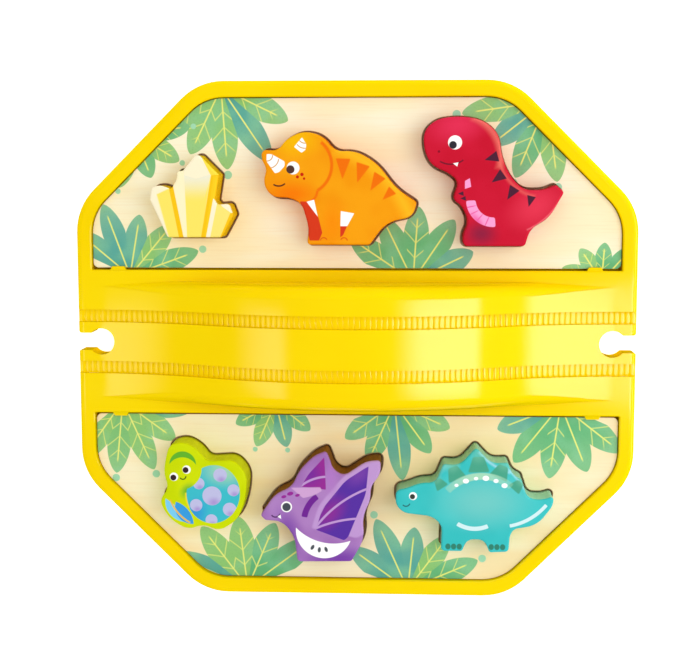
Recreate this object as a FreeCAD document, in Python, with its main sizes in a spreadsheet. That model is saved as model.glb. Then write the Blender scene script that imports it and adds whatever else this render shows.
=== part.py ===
import FreeCAD, Part
import math
import os

# A low railway puzzle tray for small children. A moulded frame carries a humped track across
# its middle. Two plywood boards lie beside the track, and six chunky wooden pieces sit in them.
# Sizes are in millimetres. The origin is on the floor under the tray's middle, +X runs along
# the track and +Z points up.

V = FreeCAD.Vector
doc = FreeCAD.newDocument("railway_puzzle_tray")

# Driving dimensions: name, value and meaning
DIMENSIONS = [
    ("tray_length", 279, "outside of the rim, along the track"),
    ("tray_width", 259, "outside of the rim, across the track"),
    ("tray_cut", 62.3, "leg of the 45 degree corners of the plan"),
    ("tray_corner_radius", 30, "plan radius at the rim's eight corners"),
    ("rim_height", 12, "height of the rim and of the track ends, as wooden track has"),
    ("rim_outer_round", 3.2, "round of the rim's outer top edge"),
    ("rim_inner_bevel", 0.6, "bevel of the rim's edge towards the boards"),
    ("wall", 2.4, "moulded wall thickness"),
    ("window_length", 263.6, "board window, along the track"),
    ("window_near", 36.2, "distance of a window's near edge from the track's centre line"),
    ("window_far", 121.4, "distance of a window's far edge from the track's centre line"),
    ("window_cut", 57.5, "leg of the 45 degree corners of a window"),
    ("window_corner_radius", 24, "plan radius at a window's four obtuse corners"),
    ("window_near_radius", 0.5, "plan radius at a window's two square corners"),
    ("board_near_radius", 2.6, "plan radius at a board's two square corners"),
    ("ledge_width", 5, "shelf under the boards' edges"),
    ("ledge_thickness", 3, "height of the shelf above the floor"),
    ("hump_height", 30, "crest of the track above the rim"),
    ("hump_length", 273, "length over which the track rises and falls"),
    ("hump_width", 61, "width of the raised track body"),
    ("hump_sink", 0.2, "depth at which the hump runs out under the track ends"),
    ("crest_reach", 71.7, "from the crest to where its arc meets the hollow arc of the foot"),
    ("shoulder_round", 7.5, "round along the raised track's two top edges"),
    ("groove_spacing", 26, "centre to centre of the two wheel grooves"),
    ("groove_width", 6.3, "width of a wheel groove"),
    ("groove_depth", 3, "depth of a wheel groove"),
    ("grip_pitch", 2.7, "spacing of the grip ribs on a groove's floor"),
    ("grip_height", 0.8, "height of a grip rib"),
    ("web_thickness", 2, "stiffening webs on the hidden side"),
    ("web_spacing", 45, "spacing of the webs along the track"),
    ("socket_radius", 6.65, "track socket, round part"),
    ("socket_neck", 8.7, "track socket, width of its neck"),
    ("socket_setback", 11.9, "track socket, centre from the tray's end"),
    ("socket_mouth_round", 1.5, "round of the neck's two mouth corners"),
    ("tab_root_width", 9, "snap tab over a board's edge, at its root inside the frame"),
    ("tab_tip_width", 6, "snap tab, at its tip"),
    ("tab_tip_drop", 0.8, "how far a tab's tip lies below the rim's top"),
    ("tab_reach", 1.7, "how far a snap tab stands out from the window's near edge"),
    ("tab_offset", 118.5, "snap tabs from the tray's middle, along the track"),
    ("board_gap", 0.4, "gap between a board and the frame at the sides and the far edge"),
    ("board_near_gap", 1, "gap between a board and the frame at the near edge"),
    ("backing_thickness", 2, "thin plywood under the cut-outs"),
    ("panel_thickness", 4, "printed plywood with the cut-outs"),
    ("ear_radius", 5.5, "round ear of the shelf at each screw"),
    ("screw_far", 115.9, "board screws from the track's centre line"),
    ("screw_offset", 60, "board screws from the tray's middle, along the track"),
    ("screw_radius", 1.45, "shank of a board screw"),
    ("screw_clearance", 1.7, "radius of the hole in the shelf"),
    ("screw_head_radius", 2.8, "countersunk head of a board screw"),
    ("screw_head_depth", 1.6, "depth of the countersunk head"),
    ("screw_head_sunk", 0.3, "how far the head sits above the floor"),
    ("screw_tip_height", 7.5, "height of the screws' tips above the floor"),
    ("piece_thickness", 19, "thickness of a puzzle piece"),
    ("piece_gap", 1, "gap between a piece and its cut-out"),
    ("piece_bevel", 0.8, "bevel of a piece's top edge"),
    ("cut_margin", 1, "how far a cutter passes the surface that it cuts"),
]

sheet = doc.addObject("Spreadsheet::Sheet", "Sizes")
for row, (alias, value, meaning) in enumerate(DIMENSIONS, start=1):
    sheet.set(f"A{row}", alias)
    sheet.set(f"B{row}", str(value))
    sheet.set(f"C{row}", meaning)
    sheet.setAlias(f"B{row}", alias)
doc.recompute()


def size(alias):
    return float(sheet.get(alias))


def bind(feature, **expressions):
    """Tie properties of a feature to the sheet. A double underscore stands for a dot."""
    for name, expression in expressions.items():
        feature.setExpression(name.replace("__", "."), expression)
    return feature


def edges_where(shape, wanted):
    """Numbers of the edges that the test accepts, counted from 1 as the features count them."""
    return [number for number, edge in enumerate(shape.Edges, start=1) if wanted(edge)]


def is_upright(edge):
    """True for a straight edge parallel to Z."""
    box = edge.BoundBox
    return box.ZLength > 0.1 and box.XLength < 1e-4 and box.YLength < 1e-4


def fillet_in_body(body, base, name, radius, wanted):
    """Round the chosen edges of a body's last feature."""
    doc.recompute()
    fillet = body.newObject("PartDesign::Fillet", name)
    fillet.Base = (base, [f"Edge{number}" for number in edges_where(base.Shape, wanted)])
    bind(fillet, Radius=radius)
    body.Tip = fillet
    return fillet


def origin_plane(body, role):
    return next(item for item in body.Origin.OriginFeatures if item.Role == role)


def new_sketch(body, name, role):
    sketch = body.newObject("Sketcher::SketchObject", name)
    sketch.AttachmentSupport = [(origin_plane(body, role), "")]
    sketch.MapMode = "FlatFace"
    return sketch


def combine(kind, name, parts):
    """One fused or common shape of several parts."""
    result = doc.addObject(f"Part::Multi{kind}", name)
    result.Shapes = parts
    return result


def cut(name, base, tool):
    result = doc.addObject("Part::Cut", name)
    result.Base = base
    result.Tool = tool
    return result


def box(name, length, width, height, x, y, z):
    """A box given by its sizes and its lowest corner, all of them expressions."""
    solid = doc.addObject("Part::Box", name)
    return bind(solid, Length=length, Width=width, Height=height,
                Placement__Base__x=x, Placement__Base__y=y, Placement__Base__z=z)


# Eight-sided plan of the tray and the plan of a board window. Both are boxes whose corners
# are cut at 45 degrees and then rounded, and both can be drawn in or out by an inset.

def cornered_block(name, length, width, height, x, y, z, cut_leg, is_cut, radius, is_rounded):
    body = doc.addObject("PartDesign::Body", name)
    start = body.newObject("PartDesign::AdditiveBox", name + "_box")
    bind(start, Length=length, Width=width, Height=height,
         Placement__Base__x=x, Placement__Base__y=y, Placement__Base__z=z)
    doc.recompute()
    chamfer = body.newObject("PartDesign::Chamfer", name + "_corners")
    corners = edges_where(start.Shape, lambda edge: is_upright(edge) and is_cut(edge.CenterOfMass))
    chamfer.Base = (start, [f"Edge{number}" for number in corners])
    bind(chamfer, Size=cut_leg)
    body.Tip = chamfer
    fillet_in_body(body, chamfer, name + "_round", radius,
                   lambda edge: is_upright(edge) and is_rounded(edge.CenterOfMass))
    return body


def tray_block(name, inset, low, high):
    return cornered_block(
        name,
        f"Sizes.tray_length - 2 * ({inset})",
        f"Sizes.tray_width - 2 * ({inset})",
        f"({high}) - ({low})",
        f"({inset}) - Sizes.tray_length / 2",
        f"({inset}) - Sizes.tray_width / 2",
        low,
        f"Sizes.tray_cut - (2 - sqrt(2)) * ({inset})",
        lambda point: True,
        f"Sizes.tray_corner_radius - ({inset})",
        lambda point: True)


def window_block(name, side, inset, low, high, near_inset=None,
                 near_radius="Sizes.window_near_radius"):
    """A window's plan, on the +Y side (side 1) or the -Y side (side -1) of the track."""
    near = f"(Sizes.window_near + ({near_inset or inset}))"
    far = f"(Sizes.window_far - ({inset}))"
    square_corner_limit = size("window_far") - size("window_cut") - 2 * size("ledge_width")

    def is_near(point):
        return abs(point.y) < square_corner_limit

    def is_far(point):
        return not is_near(point)

    body = cornered_block(
        name,
        f"Sizes.window_length - 2 * ({inset})",
        f"{far} - {near}",
        f"({high}) - ({low})",
        f"({inset}) - Sizes.window_length / 2",
        near if side > 0 else f"-{far}",
        low,
        f"Sizes.window_cut - (2 - sqrt(2)) * ({inset})",
        is_far,
        f"Sizes.window_corner_radius - ({inset})",
        is_far)
    fillet_in_body(body, body.Tip, name + "_near_round", near_radius,
                   lambda edge: is_upright(edge) and is_near(edge.CenterOfMass))
    return body


# Moulded frame, first stage: the rim with its two board recesses, its rounded outer edge and
# its bevelled inner edges

rim_block = tray_block("rim_block", "0", "0", "Sizes.rim_height")
recesses = []
openings = []
for side, place in ((1, "upper"), (-1, "lower")):
    recesses.append(window_block(f"{place}_recess", side, "0", "Sizes.ledge_thickness",
                                 "Sizes.rim_height + Sizes.cut_margin"))
    openings.append(window_block(f"{place}_opening", side, "Sizes.ledge_width",
                                 "-Sizes.cut_margin",
                                 "Sizes.ledge_thickness + Sizes.cut_margin"))
rim_with_recesses = cut("rim_with_recesses", rim_block, combine("Fuse", "recesses", recesses))
doc.recompute()

half_width = size("tray_width") / 2
half_length = size("tray_length") / 2


def is_on_rim_top(edge):
    bounds = edge.BoundBox
    return abs(bounds.ZMin - size("rim_height")) < 1e-3 and bounds.ZLength < 1e-3


def is_on_window(edge):
    """True for an edge round a board recess, by its distance from the tray's outer flats."""
    point = edge.valueAt((edge.FirstParameter + edge.LastParameter) / 2)
    beside = half_length - abs(point.x)
    beyond = half_width - abs(point.y)
    askew = (beside + beyond - size("tray_cut")) / math.sqrt(2)
    return min(beside, beyond, askew) > size("rim_outer_round") + size("cut_margin")


def finish_edges(kind, name, base, amount, wanted):
    """Round (kind Fillet) or bevel (kind Chamfer) the chosen edges of a solid."""
    doc.recompute()
    result = doc.addObject(f"Part::{kind}", name)
    result.Base = base
    result.Edges = [(number, amount, amount) for number in edges_where(base.Shape, wanted)]
    return result


rounded_rim = finish_edges("Fillet", "rounded_rim", rim_with_recesses, size("rim_outer_round"),
                           lambda edge: is_on_rim_top(edge) and not is_on_window(edge))
rim = finish_edges("Chamfer", "rim", rounded_rim, size("rim_inner_bevel"),
                   lambda edge: is_on_rim_top(edge) and is_on_window(edge))
doc.recompute()

# Moulded frame, second stage: the humped track body and its two ribbed wheel grooves

hump_half_length = size("hump_length") / 2
crest_reach = size("crest_reach")
sunk_base = size("rim_height") - size("hump_sink")
rise = size("hump_height") + size("hump_sink")
steepest = 2 * math.atan(rise / hump_half_length)
crest_radius = crest_reach / math.sin(steepest)
foot_radius = (hump_half_length - crest_reach) / math.sin(steepest)


def arc_drop(radius, x):
    """Fall of an arc at distance x from its level point."""
    return radius - math.sqrt(radius ** 2 - x ** 2)


def track_height(x):
    """Height of the running surface: level ends and two arcs, which meet where it is steepest."""
    away = abs(x)
    if away >= hump_half_length:
        return sunk_base
    if away > crest_reach:
        return sunk_base + arc_drop(foot_radius, hump_half_length - away)
    return sunk_base + rise - arc_drop(crest_radius, away)


def track_block(name, drop, width, centre, bottom):
    """A solid under the running surface, its top lower by drop, across a strip of the track."""
    body = doc.addObject("PartDesign::Body", name)
    sketch = new_sketch(body, name + "_side_view", "XZ_Plane")

    def at(x):
        return V(x, track_height(x) - drop, 0)

    foot_middle = (hump_half_length + crest_reach) / 2
    low_left = V(-hump_half_length, bottom, 0)
    low_right = V(hump_half_length, bottom, 0)
    for piece in (
            Part.Arc(at(-hump_half_length), at(-foot_middle), at(-crest_reach)),
            Part.Arc(at(-crest_reach), at(0), at(crest_reach)),
            Part.Arc(at(crest_reach), at(foot_middle), at(hump_half_length)),
            Part.LineSegment(at(hump_half_length), low_right),
            Part.LineSegment(low_right, low_left),
            Part.LineSegment(low_left, at(-hump_half_length))):
        sketch.addGeometry(piece)
    pad = body.newObject("PartDesign::Pad", name + "_pad")
    pad.Profile = sketch
    pad.SideType = "Symmetric"
    bind(pad, Length=width)
    bind(body, Placement__Base__y=centre)
    body.Tip = pad
    return body


hump = track_block("hump", 0, "Sizes.hump_width", "0", size("ledge_thickness"))
fillet_in_body(hump, hump.Tip, "hump_shoulders", "Sizes.shoulder_round",
               lambda edge: edge.BoundBox.ZMin > size("ledge_thickness") + 1e-3
               and edge.BoundBox.YLength < 1e-3)


def groove_cutter(name, centre):
    """Everything above a wheel groove's floor, whose grip ribs make a fine zigzag."""
    floor_drop = size("groove_depth")
    rib_top = floor_drop - size("grip_height")
    pitch = size("grip_pitch")
    reach = half_length + size("cut_margin")
    clear = size("rim_height") + size("hump_height") + size("cut_margin")

    def floor(x, drop):
        inside = max(-hump_half_length, min(hump_half_length, x))
        return V(x, centre - size("groove_width") / 2, track_height(inside) - drop)

    points = [V(-reach, floor(0, 0).y, clear), floor(-reach, floor_drop)]
    count = int(half_length / pitch)
    for index in range(-count, count + 1):
        x = index * pitch
        points += [floor(x - pitch / 2, floor_drop), floor(x, rib_top)]
    points += [floor(reach, floor_drop), V(reach, floor(0, 0).y, clear)]
    cutter = doc.addObject("Part::Feature", name)
    face = Part.Face(Part.makePolygon(points + points[:1]))
    cutter.Shape = face.extrude(V(0, size("groove_width"), 0))
    return cutter


half_spacing = size("groove_spacing") / 2
grooves = [groove_cutter("groove_front", -half_spacing), groove_cutter("groove_back", half_spacing)]


# Moulded frame, third stage: sockets at both track ends, for the peg of wooden track

def socket_cutter(name, end):
    """The socket's plan, cut through the track's end: a round, a neck and a rounded mouth."""
    body = doc.addObject("PartDesign::Body", name)
    sketch = new_sketch(body, name + "_plan", "XY_Plane")
    radius = size("socket_radius")
    neck = size("socket_neck") / 2
    mouth = size("socket_mouth_round")
    centre_x = half_length - size("socket_setback")
    meet_x = centre_x + math.sqrt(radius ** 2 - neck ** 2)
    past_x = half_length + size("cut_margin")
    inner_x = half_length - mouth
    outer_y = neck + mouth
    arc_x = inner_x + mouth * math.sin(math.pi / 4)
    arc_y = outer_y - mouth * math.cos(math.pi / 4)

    def at(x, y):
        return V(end * x, y, 0)

    for piece in (
            Part.LineSegment(at(past_x, -outer_y), at(past_x, outer_y)),
            Part.LineSegment(at(past_x, outer_y), at(half_length, outer_y)),
            Part.Arc(at(half_length, outer_y), at(arc_x, arc_y), at(inner_x, neck)),
            Part.LineSegment(at(inner_x, neck), at(meet_x, neck)),
            Part.Arc(at(meet_x, neck), at(centre_x - radius, 0), at(meet_x, -neck)),
            Part.LineSegment(at(meet_x, -neck), at(inner_x, -neck)),
            Part.Arc(at(inner_x, -neck), at(arc_x, -arc_y), at(half_length, -outer_y)),
            Part.LineSegment(at(half_length, -outer_y), at(past_x, -outer_y))):
        sketch.addGeometry(piece)
    pad = body.newObject("PartDesign::Pad", name + "_pad")
    pad.Profile = sketch
    bind(pad, Length="Sizes.rim_height + 2 * Sizes.cut_margin")
    bind(body, Placement__Base__z="-Sizes.cut_margin")
    body.Tip = pad
    return body


def socket_boss(name, end):
    """The wall round a socket, solid from the floor to the running surface."""
    height = "Sizes.rim_height + 2 * Sizes.cut_margin"
    centre = f"{end} * (Sizes.tray_length / 2 - Sizes.socket_setback)"
    round_part = doc.addObject("Part::Cylinder", name + "_round")
    bind(round_part, Radius="Sizes.socket_radius + Sizes.wall", Height=height,
         Placement__Base__x=centre, Placement__Base__z="-Sizes.cut_margin")
    neck_width = "(Sizes.socket_neck + 2 * Sizes.wall)"
    neck_part = box(name + "_neck", "Sizes.socket_setback", neck_width, height,
                    centre if end > 0 else f"{centre} - Sizes.socket_setback",
                    f"-{neck_width} / 2", "-Sizes.cut_margin")
    return [round_part, neck_part]


sockets = []
socket_bosses = []
for end, place in ((1, "right"), (-1, "left")):
    sockets.append(socket_cutter(f"{place}_socket", end))
    socket_bosses += socket_boss(f"{place}_socket_boss", end)

# Moulded frame, fourth stage: the hollow underside. The mould leaves even walls, so the
# cavity follows the rim, the hump and the grooves, and thin webs stand across it.

BELOW = "-2 * Sizes.cut_margin"
track_width = "(Sizes.groove_spacing + Sizes.groove_width)"
window_walls = [
    window_block(f"{place}_window_wall", side, "-Sizes.wall", BELOW,
                 "Sizes.rim_height + Sizes.cut_margin")
    for side, place in ((1, "upper"), (-1, "lower"))]
track_strip = box("track_strip", "Sizes.tray_length", track_width,
                  "Sizes.rim_height + 3 * Sizes.cut_margin", "-Sizes.tray_length / 2",
                  f"-{track_width} / 2", BELOW)
rim_cavity = tray_block("rim_cavity", "Sizes.wall", "-Sizes.cut_margin",
                        "Sizes.rim_height - Sizes.wall")
under_rim = cut("under_rim", rim_cavity,
                combine("Fuse", "rim_cavity_limits", window_walls + [track_strip]))

wall = size("wall")
bottom = -size("cut_margin")
inner_width = "(Sizes.hump_width - 2 * Sizes.wall)"
groove_inner = "(Sizes.groove_spacing - Sizes.groove_width - 2 * Sizes.wall)"
groove_outer = "(Sizes.groove_spacing + Sizes.groove_width + 2 * Sizes.wall)"
side_strip = f"({inner_width} - {groove_outer}) / 2"
side_centre = f"({inner_width} + {groove_outer}) / 4"
under_track = [
    track_block("under_grooves", wall + size("groove_depth"), inner_width, "0", bottom),
    track_block("between_grooves", wall, groove_inner, "0", bottom)]
for side, place in ((1, "back"), (-1, "front")):
    strip = track_block(f"beside_{place}_groove", wall, side_strip, f"{side} * {side_centre}",
                        bottom)
    fillet_in_body(strip, strip.Tip, f"beside_{place}_groove_shoulder",
                   "Sizes.shoulder_round - Sizes.wall",
                   lambda edge: edge.BoundBox.ZMin > bottom + 1e-3
                   and edge.BoundBox.YLength < 1e-3 and edge.BoundBox.YMin * side > 0)
    under_track.append(strip)

webs = []
for index in range(-2, 3):
    webs.append(box(f"cross_web_{index + 3}", "Sizes.web_thickness", "Sizes.tray_width",
                    "Sizes.rim_height + Sizes.hump_height + 2 * Sizes.cut_margin",
                    f"{index} * Sizes.web_spacing - Sizes.web_thickness / 2",
                    "-Sizes.tray_width / 2", BELOW))
for index, share in enumerate((-2, -1.25, 1.25, 2), start=1):
    webs.append(box(f"rim_web_{index}", "Sizes.tray_length", "Sizes.web_thickness",
                    "Sizes.rim_height", "-Sizes.tray_length / 2",
                    f"{share} * Sizes.web_spacing - Sizes.web_thickness / 2", BELOW))
cavity = cut("cavity", combine("Fuse", "hollow", [under_rim] + under_track),
             combine("Fuse", "webs_and_bosses", webs + socket_bosses))

# Moulded frame, last stage: screw ears on the shelf, snap tabs, and everything joined

screw_places = []
for side in (1, -1):
    for end in (1, -1):
        screw_places.append((end * size("screw_offset"), side * size("screw_far")))

head_slope = "((Sizes.screw_head_radius - Sizes.screw_radius) / Sizes.screw_head_depth)"
ears = []
screw_holes = []
for index, (x, y) in enumerate(screw_places, start=1):
    ear = doc.addObject("Part::Cylinder", f"ear_{index}")
    bind(ear, Radius="Sizes.ear_radius", Height="Sizes.ledge_thickness")
    ear.Placement.Base = V(x, y, 0)
    ears.append(ear)
    hole = doc.addObject("Part::Cylinder", f"screw_hole_{index}")
    bind(hole, Radius="Sizes.screw_clearance", Height="Sizes.ledge_thickness + Sizes.cut_margin")
    hole.Placement.Base = V(x, y, 0)
    sink = doc.addObject("Part::Cone", f"countersink_{index}")
    bind(sink,
         Radius1=f"Sizes.screw_head_radius + Sizes.screw_head_sunk * {head_slope}",
         Radius2="Sizes.screw_clearance",
         Height="Sizes.screw_head_sunk + (Sizes.screw_head_radius - Sizes.screw_clearance) / "
                + head_slope)
    sink.Placement.Base = V(x, y, 0)
    screw_holes += [hole, sink]

BACKING_TOP = "Sizes.ledge_thickness + Sizes.backing_thickness"
BOARD_TOP = f"({BACKING_TOP} + Sizes.panel_thickness)"
tab_root = "Sizes.cut_margin"
tabs = []
for side, turn in ((1, 0), (-1, 180)):
    for end in (1, -1):
        tab = doc.addObject("Part::Wedge", f"snap_tab_{len(tabs) + 1}")
        bind(tab,
             Xmin="-Sizes.tab_root_width / 2", Xmax="Sizes.tab_root_width / 2",
             X2min="-Sizes.tab_tip_width / 2", X2max="Sizes.tab_tip_width / 2",
             Ymin="0", Ymax=f"{tab_root} + Sizes.tab_reach",
             Zmin="0", Zmax=f"Sizes.rim_height - {BOARD_TOP}",
             Z2min="0", Z2max=f"Sizes.rim_height - {BOARD_TOP} - Sizes.tab_tip_drop")
        tab.Placement.Rotation = FreeCAD.Rotation(V(0, 0, 1), turn)
        bind(tab,
             Placement__Base__x=f"{end} * Sizes.tab_offset",
             Placement__Base__y=f"{side} * (Sizes.window_near - {tab_root})",
             Placement__Base__z=BOARD_TOP)
        tabs.append(tab)

solid_frame = combine("Fuse", "solid_frame", [rim, hump])
open_frame = cut("open_frame", solid_frame,
                 combine("Fuse", "frame_cutters", openings + sockets + grooves + [cavity]))
eared_frame = combine("Fuse", "eared_frame", [open_frame] + ears + tabs)
tray_frame = cut("tray_frame", eared_frame, combine("Fuse", "screw_cutters", screw_holes))

# Chunky puzzle pieces, cut from thick board. An outline is a polygon seen from above, whose
# corners are rounded: as far as their runs allow, or by the radius given as a third number.

PIECES = {
    "crystal_piece": ("upper", [
        (-91, 53, 1.5), (-99.5, 71.5, 1.5), (-98.5, 77.5, 2.5), (-94, 78.5), (-89, 76.5, 1.2),
        (-86, 81.5), (-86, 85, 1.2), (-83, 85.5, 1.2), (-76, 94, 2.2), (-65.5, 83.5, 1.2),
        (-67.5, 71, 2), (-66, 69, 1.5), (-60.5, 69.5, 2), (-58.5, 64, 1.5), (-64.5, 53, 1.5)]),
    "three_horn_piece": ("upper", [
        (-44.5, 95.5, 2.5), (-36.5, 95), (-32.5, 100.5), (-24.5, 104.5), (-15, 102.5),
        (-9, 94.5), (1, 95), (11.5, 89), (21, 76.5), (31, 70, 2), (28.5, 63), (16, 60.5),
        (8, 49.5, 2.5), (-22.5, 49.5, 1.5), (-21.5, 57.5), (-25, 69.5), (-31, 72.5),
        (-39.5, 72.5), (-44, 79), (-42, 86.5), (-44.5, 90.5)]),
    "big_head_piece": ("upper", [
        (34, 104.5), (40, 110), (51, 111.5), (62.5, 109.5), (70, 103), (71.5, 91.5), (76, 82),
        (82, 76), (92, 76), (97.5, 78.5, 1.5), (101.5, 75, 1.5), (94.5, 62.5), (85.5, 57.5),
        (83, 49, 2), (53.5, 49, 2), (53, 54), (56, 61), (52.5, 68.5), (48, 71.5), (51, 80),
        (46.5, 84), (37.5, 88), (34, 96)]),
    "hatchling_piece": ("lower", [
        (-92, -50.5), (-85, -48.5), (-78, -52), (-73, -58.5), (-67, -58), (-59.5, -57.5),
        (-53, -64.5), (-53.5, -75.5), (-57.5, -88), (-67.5, -94), (-75, -90.5), (-83, -93.5),
        (-92.5, -88), (-97.5, -78.5), (-92.5, -72.5), (-95, -64), (-93.5, -56)]),
    "winged_piece": ("lower", [
        (-46.5, -85.5, 1.5), (-44, -88, 1.5), (-35.5, -88.5), (-29.5, -96), (-28, -109, 2),
        (-1, -108.5, 2), (5.5, -97), (4.5, -86), (8.5, -77), (8.5, -70.5), (13.5, -64),
        (13.5, -57, 1.8), (6.5, -57.5), (-4.5, -65), (-10, -62), (-12, -56),
        (-13.5, -52.5, 1.5), (-19.5, -55), (-27, -62.5), (-30.5, -71), (-39, -74.5)]),
    "plated_piece": ("lower", [
        (21, -72), (26, -71), (33.5, -68), (40.5, -68), (44.5, -58.5, 1.5), (52.5, -59),
        (60.5, -50, 1.5), (68, -58), (76, -57.5, 1.5), (78.5, -63.5), (83, -66, 1.5),
        (86, -75.5), (93.5, -76), (99, -74, 1.5), (98.5, -79), (91, -89), (79.5, -91),
        (77.5, -94.5), (77, -102.5, 2), (67.5, -103, 1.5), (65, -96.5), (56.5, -96.5),
        (54, -102.5, 1.5), (43.5, -102.5, 2), (44, -89.5), (39, -85), (25, -83.5),
        (21, -79.5)]),
}
RUN_SHARE = 0.48


def corner_arc(before, corner, after, radius):
    """The arc that rounds a corner, as its first point, middle point and last point."""
    back = before - corner
    ahead = after - corner
    reach = RUN_SHARE * min(back.Length, ahead.Length)
    back.normalize()
    ahead.normalize()
    half_angle = back.getAngle(ahead) / 2
    if radius:
        reach = min(reach, radius / math.tan(half_angle))
    radius = reach * math.tan(half_angle)
    inward = (back + ahead).normalize()
    nearest = radius / math.sin(half_angle) - radius
    return corner + back * reach, corner + inward * nearest, corner + ahead * reach


def rounded_sketch(name, outline):
    """A closed sketch of straight runs and tangent arcs through a polygon's corners."""
    sketch = doc.addObject("Sketcher::SketchObject", name)
    corners = [V(point[0], point[1], 0) for point in outline]
    arcs = []
    for index, point in enumerate(outline):
        radius = point[2] if len(point) > 2 else None
        arcs.append(corner_arc(corners[index - 1], corners[index],
                               corners[(index + 1) % len(corners)], radius))
    for index, (first, middle, last) in enumerate(arcs):
        sketch.addGeometry(Part.Arc(first, middle, last))
        sketch.addGeometry(Part.LineSegment(last, arcs[(index + 1) % len(arcs)][0]))
    return sketch


def extrude(name, base, length, z):
    result = doc.addObject("Part::Extrusion", name)
    result.Base = base
    result.DirMode = "Custom"
    result.Dir = V(0, 0, 1)
    result.Solid = True
    bind(result, LengthFwd=length, Placement__Base__z=z)
    return result


piece_top = size("ledge_thickness") + size("backing_thickness") + size("piece_thickness")
pieces = []
cutters = {"upper": [], "lower": []}
for name, (place, outline) in PIECES.items():
    sketch = rounded_sketch(f"{name}_outline", outline)
    blank = extrude(f"{name}_blank", sketch, "Sizes.piece_thickness", BACKING_TOP)
    pieces.append(finish_edges("Chamfer", name, blank, size("piece_bevel"),
                               lambda edge: edge.CenterOfMass.z > piece_top - 1e-3))
    hole = doc.addObject("Part::Offset2D", f"{name}_hole")
    hole.Source = sketch
    hole.Join = "Arc"
    bind(hole, Value="Sizes.piece_gap")
    cutters[place].append(extrude(f"{name}_cutter", hole,
                                  "Sizes.panel_thickness + 2 * Sizes.cut_margin",
                                  f"{BACKING_TOP} - Sizes.cut_margin"))

# Two boards, each a printed plywood panel with the cut-outs, glued on a thin plywood backing

boards = []
for side, place in ((1, "upper"), (-1, "lower")):
    pilots = []
    for index, (x, y) in enumerate(screw_places, start=1):
        if y * side < 0:
            continue
        pilot = doc.addObject("Part::Cylinder", f"pilot_{index}")
        bind(pilot, Radius="Sizes.screw_radius", Height="Sizes.screw_tip_height")
        pilot.Placement.Base = V(x, y, 0)
        pilots.append(pilot)
    holes = combine("Fuse", f"{place}_pilots", pilots)
    backing_block = window_block(f"{place}_backing_block", side, "Sizes.board_gap",
                                 "Sizes.ledge_thickness", BACKING_TOP,
                                 "Sizes.board_near_gap", "Sizes.board_near_radius")
    panel_block = window_block(f"{place}_panel_block", side, "Sizes.board_gap",
                               BACKING_TOP, BOARD_TOP,
                               "Sizes.board_near_gap", "Sizes.board_near_radius")
    boards.append(cut(f"{place}_backing", backing_block, holes))
    boards.append(cut(f"{place}_panel", panel_block,
                      combine("Fuse", f"{place}_cut_outs", cutters[place] + [holes])))

# Countersunk screws that hold the boards' far edges from below. The snap tabs hold the near
# edges. The screws are alike and share one node.

screws = []
for index, (x, y) in enumerate(screw_places, start=1):
    head_low = size("screw_head_sunk")
    head = doc.addObject("Part::Cone", f"screw_head_{index}")
    bind(head, Radius1="Sizes.screw_head_radius", Radius2="Sizes.screw_radius",
         Height="Sizes.screw_head_depth")
    head.Placement.Base = V(x, y, head_low)
    shank = doc.addObject("Part::Cylinder", f"screw_shank_{index}")
    bind(shank, Radius="Sizes.screw_radius",
         Height="Sizes.screw_tip_height - Sizes.screw_head_sunk - Sizes.screw_head_depth")
    shank.Placement.Base = V(x, y, head_low + size("screw_head_depth"))
    screws.append(combine("Fuse", f"screw_{index}", [head, shank]))
board_screws = doc.addObject("Part::Compound", "board_screws")
board_screws.Links = screws
doc.recompute()

# Check every feature, then write one file for each piece

for item in doc.Objects:
    if "Invalid" in item.State or "Error" in item.State:
        raise SystemExit(f"{item.Name} failed: {item.State}")

os.makedirs("parts", exist_ok=True)
for node in [tray_frame] + boards + pieces + [board_screws]:
    shape = node.Shape
    if shape.isNull() or not shape.isValid() or not shape.Solids:
        raise SystemExit(f"{node.Name} has no valid solid")
    bounds = shape.BoundBox
    print(f"{node.Name}: {len(shape.Solids)} solid, {shape.Volume / 1000:.1f} cm3, "
          f"z {bounds.ZMin:.2f} to {bounds.ZMax:.2f}")
    node.Label = node.Name
    shape.exportStep(f"parts/{node.Name}.step")
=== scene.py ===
import math

import bpy
from mathutils import Euler, Matrix, Vector


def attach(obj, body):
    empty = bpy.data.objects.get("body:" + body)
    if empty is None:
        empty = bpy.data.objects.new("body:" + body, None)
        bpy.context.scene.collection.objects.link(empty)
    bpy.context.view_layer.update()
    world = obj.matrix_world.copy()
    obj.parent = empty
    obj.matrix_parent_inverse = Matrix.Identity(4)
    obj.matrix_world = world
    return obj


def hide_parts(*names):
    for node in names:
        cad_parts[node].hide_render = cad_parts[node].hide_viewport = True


# A railway puzzle tray: a yellow moulded frame with a humped track across its middle, two
# printed plywood boards beside the track, and six chunky wooden pieces that lift out.

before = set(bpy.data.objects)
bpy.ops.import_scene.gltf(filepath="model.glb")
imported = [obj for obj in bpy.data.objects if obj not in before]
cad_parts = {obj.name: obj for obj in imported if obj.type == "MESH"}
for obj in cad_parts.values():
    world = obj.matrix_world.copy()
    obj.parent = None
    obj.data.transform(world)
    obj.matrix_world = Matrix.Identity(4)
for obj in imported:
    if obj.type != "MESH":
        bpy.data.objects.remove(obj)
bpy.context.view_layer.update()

# Camera. It hangs almost straight above the tray, a little towards its upper edge and to the
# right of its middle, so the pieces' upper and right sides show.
RIM_TOP = 0.012
LENS = 70.06
TRAY_TURN = Euler((0.1113, -0.0538, -0.005))
TRAY_PLACE = Vector((0.00345, -0.00995, -0.67455))

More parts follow.
